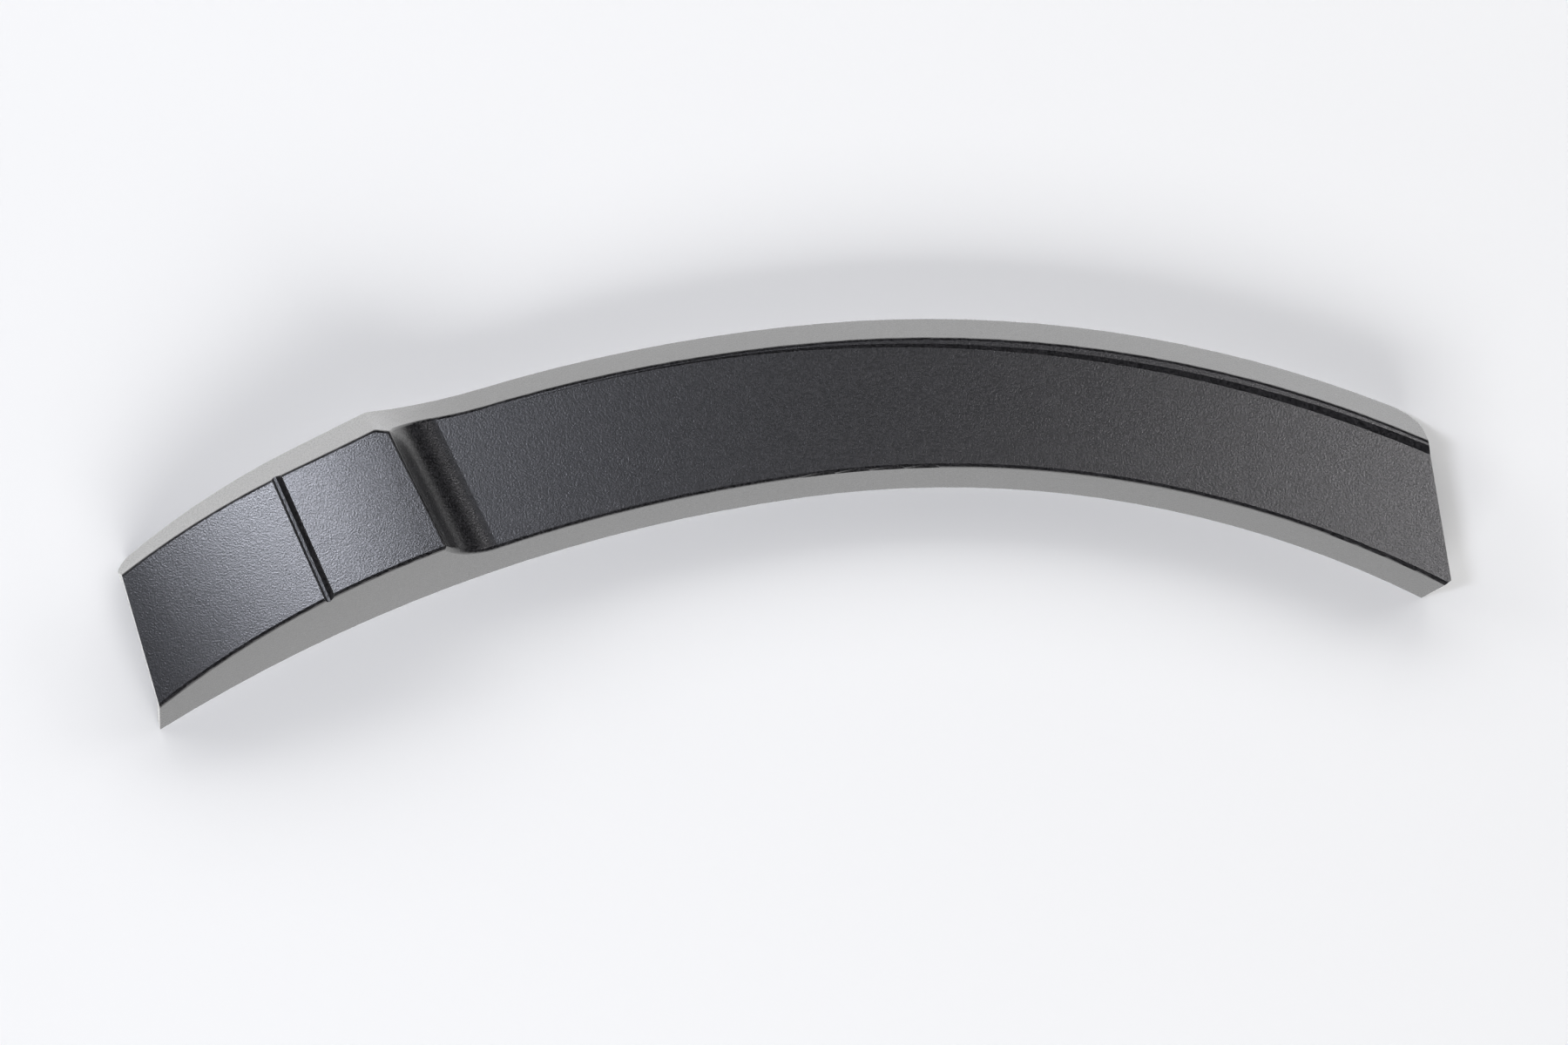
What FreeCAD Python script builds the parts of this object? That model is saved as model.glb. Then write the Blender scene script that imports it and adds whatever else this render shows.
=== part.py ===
import FreeCAD, Part
import math
import os
import Sketcher

doc = FreeCAD.newDocument("bumper_molding_source")

# Driving sizes, one cell each. The part lies face up on its back rim, at z = 0.
driving_sizes = [
    # walls and heights
    ("wall_thickness", "2.5 mm"),
    ("strip_height", "16.5 mm"),
    ("block_height", "29 mm"),
    ("wall_draft", "23 deg"),
    ("block_draft", "16.5 deg"),
    # plan of the lower edge, at the rim
    ("lower_centre_x", "55.63 mm"),
    ("lower_crest_y", "12.01 mm"),
    ("lower_radius_right", "366 mm"),
    ("lower_centre_y", "lower_crest_y - lower_radius_right"),
    ("lower_radius_left", "568.2 mm"),
    ("lower_joint", "-7.9 deg"),
    # plan of the upper edge, at the rim
    ("upper_centre_x", "48.76 mm"),
    ("upper_crest_y", "70.02 mm"),
    ("upper_radius_right", "436.2 mm"),
    ("upper_centre_y", "upper_crest_y - upper_radius_right"),
    ("upper_radius_left", "576.9 mm"),
    ("upper_joint", "-4.86 deg"),
    ("upper_blend", "-16.8 deg"),
    # raised block at the left end
    ("block_origin_x", "-125.3 mm"),
    ("block_origin_y", "11.8 mm"),
    ("block_angle", "26.5 deg"),
    ("block_reach", "32.3 mm"),
    ("block_corner_shift", "-6.5 mm"),
    ("block_corner_lean", "5 deg"),
    ("block_corner_radius", "3 mm"),
    ("panel_split", "35 mm"),
    ("panel_radius", "285 mm"),
    ("crown_radius", "450 mm"),
    ("step_angle", "70 deg"),
    ("step_radius", "15 mm"),
    # groove between the two panels
    ("groove_shift", "42.3 mm"),
    ("groove_angle", "24 deg"),
    ("groove_width", "3.8 mm"),
    ("groove_depth", "2 mm"),
    # lip along the strip's upper edge
    ("lip_height", "1.4 mm"),
    ("lip_bevel", "24 deg"),
    ("lip_start", "24 mm"),
    ("lip_centre_x", "38.3 mm"),
    ("lip_centre_y", "-403.7 mm"),
    ("lip_radius", "463.3 mm"),
    # ends
    ("left_end_x", "-220.4 mm"),
    ("left_end_y", "-40.2 mm"),
    ("left_end_angle", "16.4 deg"),
    ("left_end_lean", "16 deg"),
    ("right_end_x", "222.5 mm"),
    ("right_end_y", "0.9 mm"),
    ("right_end_angle", "9.5 deg"),
    ("right_end_lean", "0 deg"),
    ("left_trim_radius", "11 mm"),
    ("right_trim_radius", "9 mm"),
    ("right_corner_shift", "-21 mm"),
    ("right_corner_angle", "60.7 deg"),
    # rounded front edges
    ("edge_radius", "1.1 mm"),
    ("lower_edge_radius", "1.8 mm"),
    # ribs on the back
    ("rib_thickness", "1.4 mm"),
    ("rib_clearance", "4 mm"),
    ("rib_start", "1.2 deg"),
    ("rib_pitch_right", "7.6 deg"),
    ("rib_pitch_left", "5.2 deg"),
    ("block_rib_pitch", "28 mm"),
    ("backing_width", "8 mm"),
    ("backing_depth", "2 mm"),
    # screw bosses on the back
    ("screw_row_x", "52.5 mm"),
    ("screw_row_y", "26 mm"),
    ("screw_pitch", "225 mm"),
    ("boss_radius", "4 mm"),
    ("boss_clearance", "0.5 mm"),
    ("pilot_radius", "1.6 mm"),
    ("pilot_depth", "11 mm"),
    # clip towers on the back
    ("tower_length", "18 mm"),
    ("tower_width", "15 mm"),
    ("tower_wall", "1.6 mm"),
    ("tower_floor", "1.8 mm"),
    ("tower_clearance", "1 mm"),
    ("tower_room", "8.5 mm"),
    ("clip_slot", "7 mm"),
    ("tower_angle_one", "20.1 deg"),
    ("tower_angle_two", "4.1 deg"),
    ("tower_angle_three", "-10.4 deg"),
    ("tower_block_shift", "56 mm"),
    # level of the tall blank that the heights are cut from
    ("blank_height", "36 mm"),
]

sheet = doc.addObject("Spreadsheet::Sheet", "Sizes")
for row, (alias, text) in enumerate(driving_sizes, start=1):
    sheet.set("A%d" % row, alias)
    sheet.set("B%d" % row, "=" + text)
    sheet.setAlias("B%d" % row, alias)
doc.recompute()


def number(text):
    found = sheet.evalExpression(text.replace("Sizes.", ""))
    return float(getattr(found, "Value", found))


# Centres and insets as expressions on the sheet
LOWER_LEFT_X = (
    "(Sizes.lower_centre_x + (Sizes.lower_radius_right - Sizes.lower_radius_left)"
    " * sin(Sizes.lower_joint))"
)
LOWER_LEFT_Y = (
    "(Sizes.lower_centre_y + (Sizes.lower_radius_right - Sizes.lower_radius_left)"
    " * cos(Sizes.lower_joint))"
)
UPPER_LEFT_X = (
    "(Sizes.upper_centre_x + (Sizes.upper_radius_right - Sizes.upper_radius_left)"
    " * sin(Sizes.upper_joint))"
)
UPPER_LEFT_Y = (
    "(Sizes.upper_centre_y + (Sizes.upper_radius_right - Sizes.upper_radius_left)"
    " * cos(Sizes.upper_joint))"
)


def on_circle(centre_x, centre_y, radius, angle):
    x = "%s + (%s) * sin(%s)" % (centre_x, radius, angle)
    y = "%s + (%s) * cos(%s)" % (centre_y, radius, angle)
    return x, y


def on_block(along, across):
    x = (
        "Sizes.block_origin_x + (%s) * cos(Sizes.block_angle)"
        " - (%s) * sin(Sizes.block_angle)" % (along, across)
    )
    y = (
        "Sizes.block_origin_y + (%s) * sin(Sizes.block_angle)"
        " + (%s) * cos(Sizes.block_angle)" % (along, across)
    )
    return x, y


def spot(pair):
    return FreeCAD.Vector(number(pair[0]), number(pair[1]), 0)


def pin(sketch, geometry, end, label, pair):
    for axis, text in zip(("X", "Y"), pair):
        index = sketch.addConstraint(
            Sketcher.Constraint("Distance" + axis, -1, 1, geometry, end, number(text))
        )
        sketch.renameConstraint(index, label + "_" + axis.lower())
        sketch.setExpression("Constraints." + label + "_" + axis.lower(), text)


def size(sketch, kind, geometry, label, text):
    index = sketch.addConstraint(Sketcher.Constraint(kind, geometry, number(text)))
    sketch.renameConstraint(index, label)
    sketch.setExpression("Constraints." + label, text)


def arc_between(first, last, radius):
    # the arc of this radius that runs anticlockwise from first to last
    chord = last - first
    middle = (first + last) * 0.5
    side = FreeCAD.Vector(-chord.y, chord.x, 0)
    side.normalize()
    height = math.sqrt(max(radius * radius - chord.Length * chord.Length / 4, 0))
    centre = middle + side * height
    begin = math.atan2(first.y - centre.y, first.x - centre.x)
    finish = math.atan2(last.y - centre.y, last.x - centre.x)
    circle = Part.Circle(centre, FreeCAD.Vector(0, 0, 1), radius)
    return Part.ArcOfCircle(circle, begin, finish)


def outline(name, level, offset):
    """Closed plan of the moulding at one level, inset by the draft and an offset."""
    inset = "((%s) / cos(Sizes.wall_draft) + (%s) * tan(Sizes.wall_draft))"
    inset = inset % (offset, level)
    block_inset = "((%s) / cos(Sizes.block_draft) + (%s) * tan(Sizes.block_draft))"
    block_inset = block_inset % (offset, level)
    corner_along = (
        "Sizes.block_corner_shift + (%s) * tan(Sizes.block_corner_lean) - (%s)"
        % (level, offset)
    )
    across = "Sizes.block_reach - %s" % block_inset
    lower_left = "Sizes.lower_radius_left + " + inset
    lower_right = "Sizes.lower_radius_right + " + inset
    upper_right = "Sizes.upper_radius_right - " + inset
    upper_left = "Sizes.upper_radius_left - " + inset
    panel = "Sizes.panel_radius - " + block_inset
    panel_centre = on_block("-Sizes.panel_split", "Sizes.block_reach - Sizes.panel_radius")
    panel_end = (
        "%s + (%s) * cos(118 deg + Sizes.block_angle)" % (panel_centre[0], panel),
        "%s + (%s) * sin(118 deg + Sizes.block_angle)" % (panel_centre[1], panel),
    )
    corners = [
        on_circle(LOWER_LEFT_X, LOWER_LEFT_Y, lower_left, "-35 deg"),
        on_circle("Sizes.lower_centre_x", "Sizes.lower_centre_y", lower_right, "Sizes.lower_joint"),
        on_circle("Sizes.lower_centre_x", "Sizes.lower_centre_y", lower_right, "30 deg"),
        on_circle("Sizes.upper_centre_x", "Sizes.upper_centre_y", upper_right, "26 deg"),
        on_circle("Sizes.upper_centre_x", "Sizes.upper_centre_y", upper_right, "Sizes.upper_joint"),
        on_circle(UPPER_LEFT_X, UPPER_LEFT_Y, upper_left, "Sizes.upper_blend"),
        on_block(corner_along, across),
        on_block("-Sizes.panel_split", across),
        panel_end,
    ]
    at = [spot(pair) for pair in corners]
    blend_normal = FreeCAD.Vector(
        math.sin(math.radians(number("Sizes.upper_blend"))),
        math.cos(math.radians(number("Sizes.upper_blend"))),
        0,
    )
    reach = at[6] - at[5]
    blend_radius = reach.Length * reach.Length / (2 * reach.dot(blend_normal))

    sketch = doc.addObject("Sketcher::SketchObject", name)
    sketch.setExpression("Placement.Base.z", level)
    sketch.addGeometry(
        [
            arc_between(at[1], at[0], number(lower_left)),
            arc_between(at[2], at[1], number(lower_right)),
            Part.LineSegment(at[2], at[3]),
            arc_between(at[3], at[4], number(upper_right)),
            arc_between(at[4], at[5], number(upper_left)),
            arc_between(at[6], at[5], blend_radius),
            Part.LineSegment(at[6], at[7]),
            arc_between(at[7], at[8], number(panel)),
            Part.LineSegment(at[8], at[0]),
        ],
        False,
    )
    joins = [
        (0, 1, 1, 2),
        (1, 1, 2, 1),
        (2, 2, 3, 1),
        (3, 2, 4, 1),
        (5, 1, 6, 1),
        (6, 2, 7, 1),
        (7, 2, 8, 1),
        (8, 2, 0, 2),
    ]
    for join in joins:
        sketch.addConstraint(Sketcher.Constraint("Coincident", *join))
    sketch.addConstraint(Sketcher.Constraint("Tangent", 4, 2, 5, 2))
    pin(sketch, 0, 2, "lower_left_end", corners[0])
    pin(sketch, 0, 1, "lower_joint_at", corners[1])
    pin(sketch, 1, 1, "lower_right_end", corners[2])
    pin(sketch, 3, 1, "upper_right_end", corners[3])
    pin(sketch, 3, 2, "upper_joint_at", corners[4])
    pin(sketch, 4, 2, "blend_start", corners[5])
    pin(sketch, 6, 1, "block_corner", corners[6])
    pin(sketch, 6, 2, "panel_start", corners[7])
    pin(sketch, 7, 2, "panel_end", corners[8])
    size(sketch, "Radius", 0, "lower_left_arc", lower_left)
    size(sketch, "Radius", 1, "lower_right_arc", lower_right)
    size(sketch, "Radius", 3, "upper_right_arc", upper_right)
    size(sketch, "Radius", 4, "upper_left_arc", upper_left)
    size(sketch, "Radius", 7, "panel_arc", panel)
    return sketch


def blank(name, low, offset):
    """Tall drafted blank between the rim outline and the outline at the blank's height."""
    rim = outline(name + "_rim_outline", low, offset)
    crown = outline(name + "_crown_outline", "Sizes.blank_height", offset)
    loft = doc.addObject("Part::Loft", name + "_blank")
    loft.Sections = [rim, crown]
    loft.Solid = True
    loft.Ruled = True
    return loft


FAR_LEFT = "(165 mm)"
FAR_RIGHT = "(370 mm)"
BLOCK_PLANE = (
    "placement(vector(Sizes.block_origin_x; Sizes.block_origin_y; 0 mm);"
    " rotation(Sizes.block_angle; 0 deg; 90 deg))"
)


def slab(name, sketch, length):
    extrusion = doc.addObject("Part::Extrusion", name)
    extrusion.Base = sketch
    extrusion.DirMode = "Normal"
    extrusion.Solid = True
    extrusion.Symmetric = True
    extrusion.setExpression("LengthFwd", length)
    return extrusion


def step_corners(offset):
    """Corners of the side profile at the block's edge and the step, as expressions."""
    crown = "(Sizes.crown_radius - %s)" % offset
    fillet = "(Sizes.step_radius + %s)" % offset
    strip = "(Sizes.strip_height - %s)" % offset
    edge_x = "(-%s * tan(Sizes.step_angle / 2))" % offset
    crown_centre = "(Sizes.block_height - Sizes.crown_radius)"
    edge_z = "(%s + sqrt(%s ^ 2 - %s ^ 2))" % (crown_centre, crown, edge_x)
    start_z = "(%s + %s * (1 - cos(Sizes.step_angle)))" % (strip, fillet)
    start_x = "(%s + (%s - %s) / tan(Sizes.step_angle))" % (edge_x, edge_z, start_z)
    foot_x = "(%s + %s * sin(Sizes.step_angle))" % (start_x, fillet)
    left_z = "(%s + sqrt(%s ^ 2 - %s ^ 2))" % (crown_centre, crown, FAR_LEFT)
    return {
        "left": ("-" + FAR_LEFT, left_z),
        "edge": (edge_x, edge_z),
        "start": (start_x, start_z),
        "foot": (foot_x, strip),
        "crown": crown,
        "fillet": fillet,
        "strip": strip,
    }


def height_profile(name, offset):
    """Side profile of block, step and strip: everything above it is cut away."""
    step = step_corners(offset)
    top = "Sizes.blank_height + 6 mm"
    corners = [
        step["left"],
        step["edge"],
        step["start"],
        step["foot"],
        (step["foot"][0] + " + Sizes.lip_start", step["strip"]),
        (FAR_RIGHT, step["strip"] + " + Sizes.lip_height"),
        (FAR_RIGHT, top),
        ("-" + FAR_LEFT, top),
    ]
    at = [spot(pair) for pair in corners]
    sketch = doc.addObject("Sketcher::SketchObject", name)
    sketch.setExpression("Placement", BLOCK_PLANE)
    sketch.addGeometry(
        [
            arc_between(at[1], at[0], number(step["crown"])),
            Part.LineSegment(at[1], at[2]),
            arc_between(at[2], at[3], number(step["fillet"])),
            Part.LineSegment(at[3], at[4]),
            Part.LineSegment(at[4], at[5]),
            Part.LineSegment(at[5], at[6]),
            Part.LineSegment(at[6], at[7]),
            Part.LineSegment(at[7], at[0]),
        ],
        False,
    )
    sketch.addConstraint(Sketcher.Constraint("Coincident", 0, 1, 1, 1))
    for index in range(1, 7):
        sketch.addConstraint(Sketcher.Constraint("Coincident", index, 2, index + 1, 1))
    sketch.addConstraint(Sketcher.Constraint("Coincident", 7, 2, 0, 2))
    pin(sketch, 7, 2, "left_end", corners[0])
    pin(sketch, 1, 1, "block_edge", corners[1])
    pin(sketch, 1, 2, "step_start", corners[2])
    pin(sketch, 3, 1, "step_foot", corners[3])
    pin(sketch, 4, 1, "lip_begin", corners[4])
    pin(sketch, 5, 1, "right_low", corners[5])
    pin(sketch, 6, 1, "right_top", corners[6])
    pin(sketch, 7, 1, "left_top", corners[7])
    size(sketch, "Radius", 0, "crown_arc", step["crown"])
    size(sketch, "Radius", 2, "step_arc", step["fillet"])
    return sketch


def cut(name, base, tool):
    obj = doc.addObject("Part::Cut", name)
    obj.Base = base
    obj.Tool = tool
    return obj


def box(name, length, width, height, placement):
    obj = doc.addObject("Part::Box", name)
    obj.setExpression("Length", length)
    obj.setExpression("Width", width)
    obj.setExpression("Height", height)
    obj.setExpression("Placement", placement)
    return obj


def lip_recess(name, offset):
    """Room above the strip's face, up to the bevel of the lip."""
    depth = "8 mm"
    rise = "30 mm"
    bevel = doc.addObject("Part::Cone", name + "_bevel")
    radius = "Sizes.lip_radius + (%s) * tan(Sizes.lip_bevel / 2)" % offset
    level = "Sizes.strip_height - (%s)" % offset
    bevel.setExpression("Radius1", "%s - %s / tan(Sizes.lip_bevel)" % (radius, depth))
    bevel.setExpression("Radius2", "%s + %s / tan(Sizes.lip_bevel)" % (radius, rise))
    bevel.setExpression("Height", "%s + %s" % (depth, rise))
    bevel.setExpression("Placement.Base.x", "Sizes.lip_centre_x")
    bevel.setExpression("Placement.Base.y", "Sizes.lip_centre_y")
    bevel.setExpression("Placement.Base.z", "%s - %s" % (level, depth))
    room = box(
        name + "_room",
        "340 mm",
        "700 mm",
        "29 mm",
        "placement(vector(Sizes.block_origin_x; Sizes.block_origin_y; %s);"
        " rotation(Sizes.block_angle; 0 deg; 0 deg))"
        " * placement(vector(%s + Sizes.lip_start / 2; -350 mm; 0 mm);"
        " rotation(0 deg; 0 deg; 0 deg))" % (level, step_corners(offset)["foot"][0]),
    )
    recess = doc.addObject("Part::Common", name)
    recess.Base = room
    recess.Tool = bevel
    return recess


def turn_over(shape, edge):
    """Angle that the surface turns over a convex edge, and how far its faces look up the plan."""
    faces = shape.ancestorsOfType(edge, Part.Face)
    if len(faces) != 2:
        return 0, 0
    middle_at = (edge.FirstParameter + edge.LastParameter) / 2
    middle = edge.valueAt(middle_at)
    along = edge.tangentAt(middle_at)
    normals = []
    for face in faces:
        u, v = face.Surface.parameter(middle)
        normals.append(face.normalAt(u, v))
    turn = math.degrees(normals[0].getAngle(normals[1]))
    look = max((normal.y for normal in normals), key=abs)
    for sign in (1, -1):
        beside = middle + along.cross(normals[1]) * (0.3 * sign)
        if faces[1].distToShape(Part.Vertex(beside))[0] < 0.02:
            return (turn if (beside - middle).dot(normals[0]) < 0 else 0), look
    return 0, look


def front_edges(shape, side):
    """Convex front edges of one side (1 upper, -1 lower), away from the raw ends."""
    found = []
    for index, edge in enumerate(shape.Edges, start=1):
        middle = edge.valueAt((edge.FirstParameter + edge.LastParameter) / 2)
        if middle.z < 6 or not -236 < middle.x < 231:
            continue
        turn, look = turn_over(shape, edge)
        if turn > 40 and look * side > 0:
            found.append("Edge%d" % index)
    return found


def upper_edges(shape):
    return front_edges(shape, 1)


def lower_edges(shape):
    return front_edges(shape, -1)


def corner_edge(shape):
    """Upright edge of the wall at the block's corner."""
    corner = spot(on_block("Sizes.block_corner_shift", "Sizes.block_reach"))
    near = []
    for index, edge in enumerate(shape.Edges, start=1):
        low = min((vertex.Point for vertex in edge.Vertexes), key=lambda point: point.z)
        rise = edge.BoundBox.ZLength
        if rise > 5:
            near.append((low.distanceToPoint(corner), "Edge%d" % index))
    return [min(near)[1]]


def rounded(name, base, pick, radius):
    """Body that rounds the picked edges, with a near radius where the exact one won't close."""
    body = doc.addObject("PartDesign::Body", name + "_body")
    body.BaseFeature = base
    doc.recompute()
    first = body.Group[0]
    fillet = body.newObject("PartDesign::Fillet", name)
    fillet.Base = (first, pick(first.Shape))
    body.Tip = fillet
    for share in (1, 0.97, 1.04, 0.9, 1.1, 0.8):
        fillet.setExpression("Radius", "%s * %s" % (radius, share))
        doc.recompute()
        if "Invalid" not in fillet.State and fillet.Shape.isValid():
            break
    return body


def joined(name, parts):
    obj = doc.addObject("Part::MultiFuse", name)
    obj.Shapes = parts
    return obj


def cylinder(name, radius, height, x, y, z):
    obj = doc.addObject("Part::Cylinder", name)
    obj.setExpression("Radius", radius)
    obj.setExpression("Height", height)
    obj.setExpression("Placement.Base.x", x)
    obj.setExpression("Placement.Base.y", y)
    obj.setExpression("Placement.Base.z", z)
    return obj


def at_spot(x, y, turn):
    return "placement(vector(%s; %s; 0 mm); rotation(%s; 0 deg; 0 deg))" % (x, y, turn)


def moved(frame, x, y, z):
    shift = "placement(vector(%s; %s; %s); rotation(0 deg; 0 deg; 0 deg))" % (x, y, z)
    return frame + " * " + shift


# Outer skin: drafted blank, lowered to the side profile, with the lip and rounded edges
outer_blank = rounded(
    "block_corner", blank("outer", "0 mm", "0 mm"), corner_edge, "Sizes.block_corner_radius"
)
outer_above = slab("outer_above", height_profile("outer_profile", "(0 mm)"), "760 mm")
outer_lowered = cut("outer_lowered", outer_blank, outer_above)
doc.recompute()
outer_upper = rounded("upper_edges", outer_lowered, upper_edges, "Sizes.edge_radius")
outer_lipped = cut("outer_lipped", outer_upper, lip_recess("outer_recess", "(0 mm)"))
doc.recompute()
skin = rounded("lower_edges", outer_lipped, lower_edges, "Sizes.lower_edge_radius")

# Groove between the block's panels: steep on its left, sloping on its right
groove_face = (
    "(Sizes.block_height - Sizes.crown_radius"
    " + sqrt(Sizes.crown_radius ^ 2 - Sizes.groove_shift ^ 2))"
)
groove_at = on_block("-Sizes.groove_shift", "0 mm")
groove_corners = [
    ("-Sizes.groove_width / 2", groove_face + " + 8 mm"),
    ("-Sizes.groove_width / 2", groove_face + " - Sizes.groove_depth / 4"),
    ("-Sizes.groove_width / 3", groove_face + " - Sizes.groove_depth"),
    ("-Sizes.groove_width / 12", groove_face + " - Sizes.groove_depth"),
    ("Sizes.groove_width / 2", groove_face),
    ("Sizes.groove_width / 2 + 2 mm", groove_face + " + 8 mm"),
]
groove_sketch = doc.addObject("Sketcher::SketchObject", "groove_profile")
groove_sketch.setExpression(
    "Placement",
    "placement(vector(%s; %s; 0 mm); rotation(Sizes.groove_angle; 0 deg; 90 deg))" % groove_at,
)
groove_points = [spot(pair) for pair in groove_corners]
for index in range(6):
    groove_sketch.addGeometry(
        Part.LineSegment(groove_points[index], groove_points[(index + 1) % 6]), False
    )
for index in range(6):
    groove_sketch.addConstraint(
        Sketcher.Constraint("Coincident", index, 2, (index + 1) % 6, 1)
    )
    pin(groove_sketch, index, 1, "groove_%d" % (index + 1), groove_corners[index])
grooved = cut("grooved", skin, slab("groove", groove_sketch, "160 mm"))

# Hollow of the back, before ribs, bosses and towers are left standing in it
hollow_above = slab(
    "hollow_above", height_profile("hollow_profile", "Sizes.wall_thickness"), "760 mm"
)
hollow_lowered = cut(
    "hollow_lowered", blank("hollow", "-3 mm", "Sizes.wall_thickness"), hollow_above
)
hollow = cut("hollow", hollow_lowered, lip_recess("hollow_recess", "Sizes.wall_thickness"))

RIB_RISE = "Sizes.blank_height - Sizes.rib_clearance"
standing = []
for number_of_rib in range(5):
    turn = "Sizes.lower_joint + Sizes.rib_start + %d * Sizes.rib_pitch_right" % number_of_rib
    centre = at_spot("Sizes.lower_centre_x", "Sizes.lower_centre_y", "-(%s)" % turn)
    standing.append(
        box(
            "strip_rib_right_%d" % (number_of_rib + 1),
            "Sizes.rib_thickness",
            "140 mm",
            RIB_RISE,
            moved(
                centre,
                "-Sizes.rib_thickness / 2",
                "Sizes.lower_radius_right - 20 mm",
                "Sizes.rib_clearance",
            ),
        )
    )
for number_of_rib in range(1, 3):
    turn = "Sizes.lower_joint - %d * Sizes.rib_pitch_left" % number_of_rib
    centre = at_spot(LOWER_LEFT_X, LOWER_LEFT_Y, "-(%s)" % turn)
    standing.append(
        box(
            "strip_rib_left_%d" % number_of_rib,
            "Sizes.rib_thickness",
            "140 mm",
            RIB_RISE,
            moved(
                centre,
                "-Sizes.rib_thickness / 2",
                "Sizes.lower_radius_left - 20 mm",
                "Sizes.rib_clearance",
            ),
        )
    )
block_frame = at_spot("Sizes.block_origin_x", "Sizes.block_origin_y", "Sizes.block_angle")
for number_of_rib in range(3):
    along = "-Sizes.groove_shift + (%d) * Sizes.block_rib_pitch" % (1, -1, -2)[number_of_rib]
    standing.append(
        box(
            "block_rib_%d" % (number_of_rib + 1),
            "Sizes.rib_thickness",
            "140 mm",
            RIB_RISE,
            moved(
                block_frame,
                along + " - Sizes.rib_thickness / 2",
                "-70 mm",
                "Sizes.rib_clearance",
            ),
        )
    )
groove_frame = at_spot(groove_at[0], groove_at[1], "Sizes.groove_angle")
standing.append(
    box(
        "groove_backing",
        "Sizes.backing_width",
        "140 mm",
        "20 mm",
        moved(
            groove_frame,
            "-Sizes.backing_width / 2",
            "-70 mm",
            groove_face + " - Sizes.wall_thickness - Sizes.backing_depth",
        ),
    )
)

# Screw bosses with blind pilot holes
screw_spots = [
    ("Sizes.screw_row_x - Sizes.screw_pitch / 2", "Sizes.screw_row_y"),
    ("Sizes.screw_row_x + Sizes.screw_pitch / 2", "Sizes.screw_row_y"),
]
removed = []
for index, (x, y) in enumerate(screw_spots, start=1):
    standing.append(
        cylinder(
            "screw_boss_%d" % index,
            "Sizes.boss_radius",
            "Sizes.blank_height",
            x,
            y,
            "Sizes.boss_clearance",
        )
    )
    removed.append(
        cylinder(
            "pilot_hole_%d" % index,
            "Sizes.pilot_radius",
            "Sizes.pilot_depth + 5 mm",
            x,
            y,
            "Sizes.boss_clearance - 5 mm",
        )
    )

# Clip towers: hollow boxes with a keyhole slot, open towards the wheel side
strip_middle = "((Sizes.upper_centre_y + Sizes.upper_radius_right) - (Sizes.lower_centre_y"
strip_middle += " + Sizes.lower_radius_right)) / 2"
tower_frames = []
for angle in ("Sizes.tower_angle_one", "Sizes.tower_angle_two"):
    centre = at_spot("Sizes.lower_centre_x", "Sizes.lower_centre_y", "-(%s)" % angle)
    reach = "Sizes.lower_radius_right + " + strip_middle
    tower_frames.append(moved(centre, "0 mm", reach, "0 mm"))
centre = at_spot(LOWER_LEFT_X, LOWER_LEFT_Y, "-(Sizes.tower_angle_three)")
reach = "Sizes.lower_radius_left + " + strip_middle
tower_frames.append(moved(centre, "0 mm", reach, "0 mm"))
tower_frames.append(moved(block_frame, "-Sizes.tower_block_shift", "0 mm", "0 mm"))
for index, frame in enumerate(tower_frames, start=1):
    standing.append(
        box(
            "clip_tower_%d" % index,
            "Sizes.tower_length",
            "Sizes.tower_width",
            "Sizes.blank_height",
            moved(frame, "-Sizes.tower_length / 2", "-Sizes.tower_width / 2", "Sizes.tower_clearance"),
        )
    )
    removed.append(
        box(
            "tower_room_%d" % index,
            "Sizes.tower_length - 2 * Sizes.tower_wall",
            "Sizes.tower_width - Sizes.tower_wall + 1 mm",
            "Sizes.tower_room",
            moved(
                frame,
                "-Sizes.tower_length / 2 + Sizes.tower_wall",
                "-Sizes.tower_width / 2 - 1 mm",
                "Sizes.tower_clearance + Sizes.tower_floor",
            ),
        )
    )
    removed.append(
        box(
            "clip_slot_%d" % index,
            "Sizes.clip_slot",
            "Sizes.tower_width / 2 + 1 mm",
            "Sizes.tower_floor + 6 mm",
            moved(
                frame,
                "-Sizes.clip_slot / 2",
                "-Sizes.tower_width / 2 - 1 mm",
                "Sizes.tower_clearance - 5 mm",
            ),
        )
    )

hollow_room = cut("hollow_room", hollow, joined("standing_on_back", standing))
moulded = cut("moulded", grooved, hollow_room)

# Ends of the strip, and the rounded corners of its walls there
left_frame = (
    "placement(vector(Sizes.left_end_x; Sizes.left_end_y; Sizes.strip_height);"
    " rotation(180 deg + Sizes.left_end_angle; -Sizes.left_end_lean; 0 deg))"
)
right_frame = (
    "placement(vector(Sizes.right_end_x; Sizes.right_end_y; Sizes.strip_height);"
    " rotation(Sizes.right_end_angle; -Sizes.right_end_lean; 0 deg))"
)


def end_cut(name, frame):
    return box(name, "90 mm", "260 mm", "160 mm", moved(frame, "0 mm", "-130 mm", "-80 mm"))


def corner_trim(name, frame, radius, lean, across):
    """Rounds the rim corner of one wall at an end, on the side of the end's middle given."""
    rim = "-Sizes.strip_height / cos(%s)" % lean
    block = box(
        name + "_block",
        radius + " + 20 mm",
        "60 mm",
        radius + " + 4 mm",
        moved(frame, "-" + radius, across, rim + " - 4 mm"),
    )
    rounding = doc.addObject("Part::Cylinder", name + "_rounding")
    rounding.setExpression("Radius", radius)
    rounding.setExpression("Height", "80 mm")
    rounding.setExpression(
        "Placement",
        frame
        + " * placement(vector(-%s; %s - 10 mm; %s + %s); rotation(0 deg; 0 deg; -90 deg))"
        % (radius, across, rim, radius),
    )
    return cut(name, block, rounding)


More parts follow.
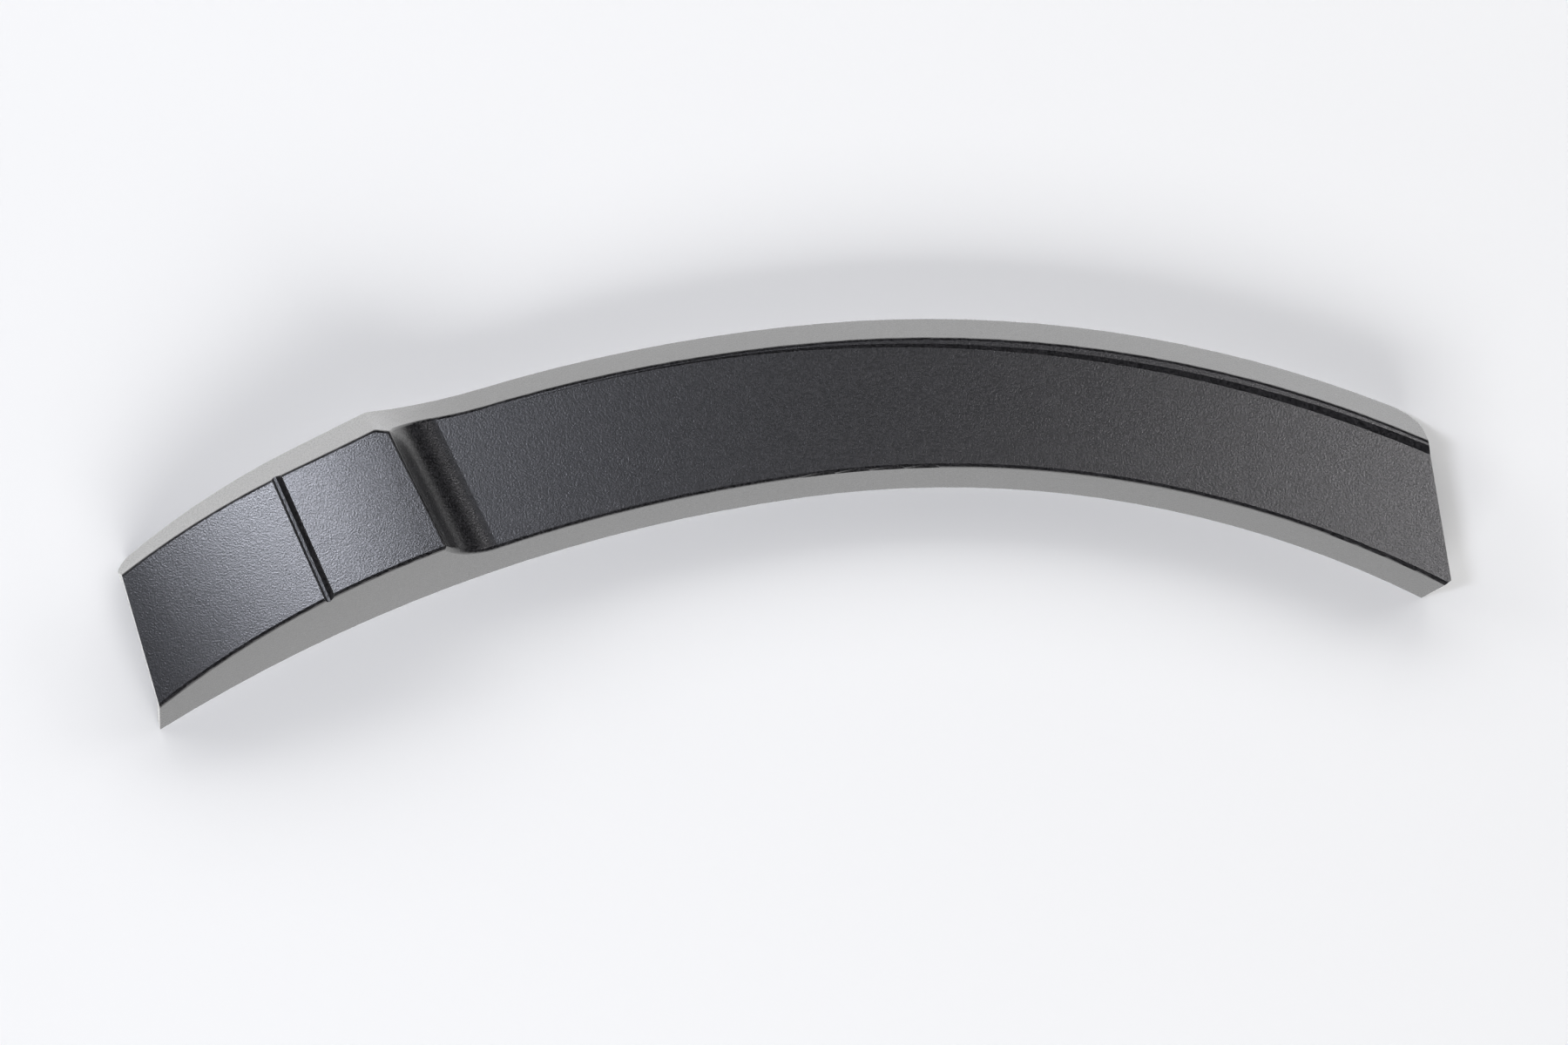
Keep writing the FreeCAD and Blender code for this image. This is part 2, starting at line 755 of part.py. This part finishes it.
removed.append(end_cut("left_end", left_frame))
removed.append(end_cut("right_end", right_frame))
removed.append(
    corner_trim(
        "left_upper_trim", left_frame, "Sizes.left_trim_radius", "Sizes.left_end_lean", "-72 mm"
    )
)
removed.append(
    corner_trim(
        "right_upper_trim", right_frame, "Sizes.right_trim_radius", "Sizes.right_end_lean", "12 mm"
    )
)
corner_frame = (
    right_frame
    + " * placement(vector(0 mm; Sizes.right_corner_shift; 0 mm);"
    + " rotation(-Sizes.right_corner_angle; 0 deg; 0 deg))"
)
removed.append(end_cut("right_lower_corner", corner_frame))
moulding = cut("bumper_molding", moulded, joined("taken_out", removed))
doc.recompute()

for item in doc.Objects:
    if "Invalid" in item.State or "Error" in item.State:
        raise RuntimeError("%s did not rebuild: %s" % (item.Name, item.getStatusString()))
if moulding.Shape.isNull() or not moulding.Shape.isValid():
    raise RuntimeError("the moulding's shape is not valid")
if len(moulding.Shape.Solids) != 1:
    raise RuntimeError("the moulding is %d solids" % len(moulding.Shape.Solids))

# The rim's plane is z = 0, and the origin is the middle of the plan
whole = moulding.Shape.copy()
reach = whole.optimalBoundingBox(False, False)
whole.translate(FreeCAD.Vector(-reach.Center.x, -reach.Center.y, -reach.ZMin))

os.makedirs("parts", exist_ok=True)
whole.exportStep("parts/bumper_molding.step")
print("middle of the plan:", round(reach.Center.x, 4), round(reach.Center.y, 4))
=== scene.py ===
"""Bumper molding: fine-grained black plastic strip, lying face up on a white table."""

import math

import bpy
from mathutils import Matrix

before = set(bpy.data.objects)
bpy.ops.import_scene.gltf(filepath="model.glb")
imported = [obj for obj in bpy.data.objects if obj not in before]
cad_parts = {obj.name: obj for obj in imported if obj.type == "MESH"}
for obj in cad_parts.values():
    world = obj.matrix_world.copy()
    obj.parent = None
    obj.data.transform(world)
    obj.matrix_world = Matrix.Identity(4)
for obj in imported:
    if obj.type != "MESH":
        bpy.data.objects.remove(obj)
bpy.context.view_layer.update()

# Sizes and places, in metres
CAMERA_HEIGHT = 1.5
CAMERA_LENS = 100.0
CAMERA_SENSOR = 36.0
CAMERA_X = 0.0005
CAMERA_Y = 0.0006
FLOOR_SIZE = 6.0

# Colours (linear) and finish
PLASTIC_DARK = (0.0004, 0.0003, 0.0008, 1.0)
PLASTIC_LIGHT = (0.032, 0.031, 0.034, 1.0)
PLASTIC_SPECULAR = 0.23
PLASTIC_INDEX = 2.0
SHEEN_WEIGHT = 1.0
SHEEN_ROUGHNESS = 0.22
COAT_WEIGHT = 1.0
COAT_ROUGHNESS = 0.3
COAT_INDEX = 1.8
GRAIN_SIZE = 0.0006
GRAIN_HEIGHT = 0.00006
GRAIN_DETAIL = 2.0
BUMP_STRENGTH = 1.0
SPECKS_FROM = 0.4
SPECKS_TO = 0.66
GLINT_FROM = 0.3
GLINT_TO = 0.7
ROUGHNESS_IN_PITS = 0.33
ROUGHNESS_ON_PEAKS = 0.23
FLOOR_COLOUR = (0.92, 0.92, 0.92, 1.0)
FLOOR_ROUGHNESS = 0.9
FLOOR_IN_GLOSS = 1.0

# Lamps: power in watts, width and height in metres
WHITE = (1.0, 1.0, 1.0)
COOL_WHITE = (0.86, 0.89, 1.0)
WARM_WHITE = (1.0, 0.98, 1.0)
TABLE_MIDDLE = (0.0, 0.0, 0.0)
OVERHEAD_BOXES = (
    ("sheen_box", (-0.76, 0.03, 1.6), (-0.17, 0.0, 0.0), 0.28, 0.5, 7.4, COOL_WHITE),
    ("right_box", (0.72, 0.0, 1.6), (0.2, 0.0, 0.0), 0.25, 0.6, 2.5, WARM_WHITE),
)
SIDE_BOXES = (
    ("upper_box", (0.0, 1.8, 0.8), TABLE_MIDDLE, 2.4, 0.7, 28.0, WHITE),
    ("back_left", (-2.0, 1.2, 0.8), TABLE_MIDDLE, 1.4, 0.6, 16.0, WHITE),
    ("back_right", (2.0, 1.2, 0.8), TABLE_MIDDLE, 1.4, 0.6, 16.0, WHITE),
    ("front_box", (0.0, -1.8, 0.8), TABLE_MIDDLE, 2.4, 0.7, 39.0, WHITE),
)

# Room brightness by height: place on the ramp from the horizon to the zenith, then level
ROOM_LEVELS = ((0.0, 0.5), (0.1, 0.3), (0.2, 0.01), (0.9, 0.01), (0.97, 0.03))
RAMP_MIDDLE = 0.5


def node(tree, kind):
    """Adds a shader node."""
    return tree.nodes.new(kind)


def grained_plastic():
    """Satin black plastic with the fine moulded grain of car trim."""
    material = bpy.data.materials.new("grained_plastic")
    material.use_nodes = True
    tree = material.node_tree
    shader = tree.nodes["Principled BSDF"]
    shader.inputs["Specular IOR Level"].default_value = PLASTIC_SPECULAR
    shader.inputs["IOR"].default_value = PLASTIC_INDEX
    shader.inputs["Sheen Weight"].default_value = SHEEN_WEIGHT
    shader.inputs["Sheen Roughness"].default_value = SHEEN_ROUGHNESS
    shader.inputs["Coat Weight"].default_value = COAT_WEIGHT
    shader.inputs["Coat Roughness"].default_value = COAT_ROUGHNESS
    shader.inputs["Coat IOR"].default_value = COAT_INDEX
    place = node(tree, "ShaderNodeTexCoord")
    grain = node(tree, "ShaderNodeTexNoise")
    grain.inputs["Scale"].default_value = 1.0 / GRAIN_SIZE
    grain.inputs["Detail"].default_value = GRAIN_DETAIL
    bump = node(tree, "ShaderNodeBump")
    bump.inputs["Strength"].default_value = BUMP_STRENGTH
    bump.inputs["Distance"].default_value = GRAIN_HEIGHT
    glint = node(tree, "ShaderNodeMapRange")
    glint.inputs["From Min"].default_value = GLINT_FROM
    glint.inputs["From Max"].default_value = GLINT_TO
    glint.inputs["To Min"].default_value = ROUGHNESS_IN_PITS
    glint.inputs["To Max"].default_value = ROUGHNESS_ON_PEAKS
    specks = node(tree, "ShaderNodeValToRGB")
    specks.color_ramp.elements[0].position = SPECKS_FROM
    specks.color_ramp.elements[0].color = PLASTIC_DARK
    specks.color_ramp.elements[1].position = SPECKS_TO
    specks.color_ramp.elements[1].color = PLASTIC_LIGHT
    tree.links.new(grain.outputs["Fac"], specks.inputs["Fac"])
    tree.links.new(specks.outputs["Color"], shader.inputs["Base Color"])
    tree.links.new(grain.outputs["Fac"], glint.inputs["Value"])
    tree.links.new(glint.outputs["Result"], shader.inputs["Roughness"])
    tree.links.new(place.outputs["Object"], grain.inputs["Vector"])
    tree.links.new(grain.outputs["Fac"], bump.inputs["Height"])
    tree.links.new(bump.outputs["Normal"], shader.inputs["Normal"])
    tree.links.new(bump.outputs["Normal"], shader.inputs["Coat Normal"])
    return material


def white_table():
    """White table that keeps shadows, and that glossy surfaces mirror as an even white."""
    material = bpy.data.materials.new("white_table")
    material.use_nodes = True
    tree = material.node_tree
    shader = tree.nodes["Principled BSDF"]
    shader.inputs["Base Color"].default_value = FLOOR_COLOUR
    shader.inputs["Roughness"].default_value = FLOOR_ROUGHNESS
    mirrored = node(tree, "ShaderNodeEmission")
    mirrored.inputs["Strength"].default_value = FLOOR_IN_GLOSS
    ray = node(tree, "ShaderNodeLightPath")
    mix = node(tree, "ShaderNodeMixShader")
    tree.links.new(ray.outputs["Is Glossy Ray"], mix.inputs[0])
    tree.links.new(shader.outputs["BSDF"], mix.inputs[1])
    tree.links.new(mirrored.outputs["Emission"], mix.inputs[2])
    tree.links.new(mix.outputs["Shader"], tree.nodes["Material Output"].inputs["Surface"])
    return material


def softbox(name, place, target, width, height, power, colour):
    """Area lamp at place, turned to face target."""
    lamp = bpy.data.lights.new(name, "AREA")
    lamp.shape = "RECTANGLE"
    lamp.size = width
    lamp.size_y = height
    lamp.energy = power
    lamp.color = colour
    holder = bpy.data.objects.new(name, lamp)
    bpy.context.collection.objects.link(holder)
    holder.location = place
    direction = [t - p for t, p in zip(target, place)]
    length_flat = math.hypot(direction[0], direction[1])
    holder.rotation_euler = (
        math.pi / 2 + math.atan2(direction[2], length_flat),
        0.0,
        math.atan2(direction[1], direction[0]) - math.pi / 2,
    )
    return holder


# The molding itself
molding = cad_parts["bumper_molding"]
molding.data.materials.clear()
molding.data.materials.append(grained_plastic())
for face in molding.data.polygons:
    face.use_smooth = True
smooth = molding.modifiers.new("even_shading", "WEIGHTED_NORMAL")
smooth.keep_sharp = True

# White table
bpy.ops.mesh.primitive_plane_add(size=FLOOR_SIZE, location=(0.0, 0.0, 0.0))
floor = bpy.context.object
floor.name = "floor"
floor.data.materials.append(white_table())

# Light: overhead boxes for the sheen on the face, side boxes that reflections leave out
for box in OVERHEAD_BOXES:
    softbox(*box)
for box in SIDE_BOXES:
    softbox(*box).visible_glossy = False

world = bpy.data.worlds.new("room")
bpy.context.scene.world = world
world.use_nodes = True
room = world.node_tree
backdrop = room.nodes["Background"]
direction = node(room, "ShaderNodeTexCoord")
axes = node(room, "ShaderNodeSeparateXYZ")
levels = node(room, "ShaderNodeValToRGB")
while len(levels.color_ramp.elements) < len(ROOM_LEVELS):
    levels.color_ramp.elements.new(RAMP_MIDDLE)
for stop, (place, level) in zip(levels.color_ramp.elements, ROOM_LEVELS):
    stop.position = place
    stop.color = (level, level, level, 1.0)
room.links.new(direction.outputs["Generated"], axes.inputs["Vector"])
room.links.new(axes.outputs["Z"], levels.inputs["Fac"])
room.links.new(levels.outputs["Color"], backdrop.inputs["Color"])

# Camera straight above, as in the photograph
lens = bpy.data.cameras.new("camera")
lens.lens = CAMERA_LENS
lens.sensor_width = CAMERA_SENSOR
camera = bpy.data.objects.new("camera", lens)
bpy.context.collection.objects.link(camera)
camera.location = (CAMERA_X, CAMERA_Y, CAMERA_HEIGHT)
bpy.context.scene.camera = camera
bpy.context.scene.view_settings.view_transform = "Standard"
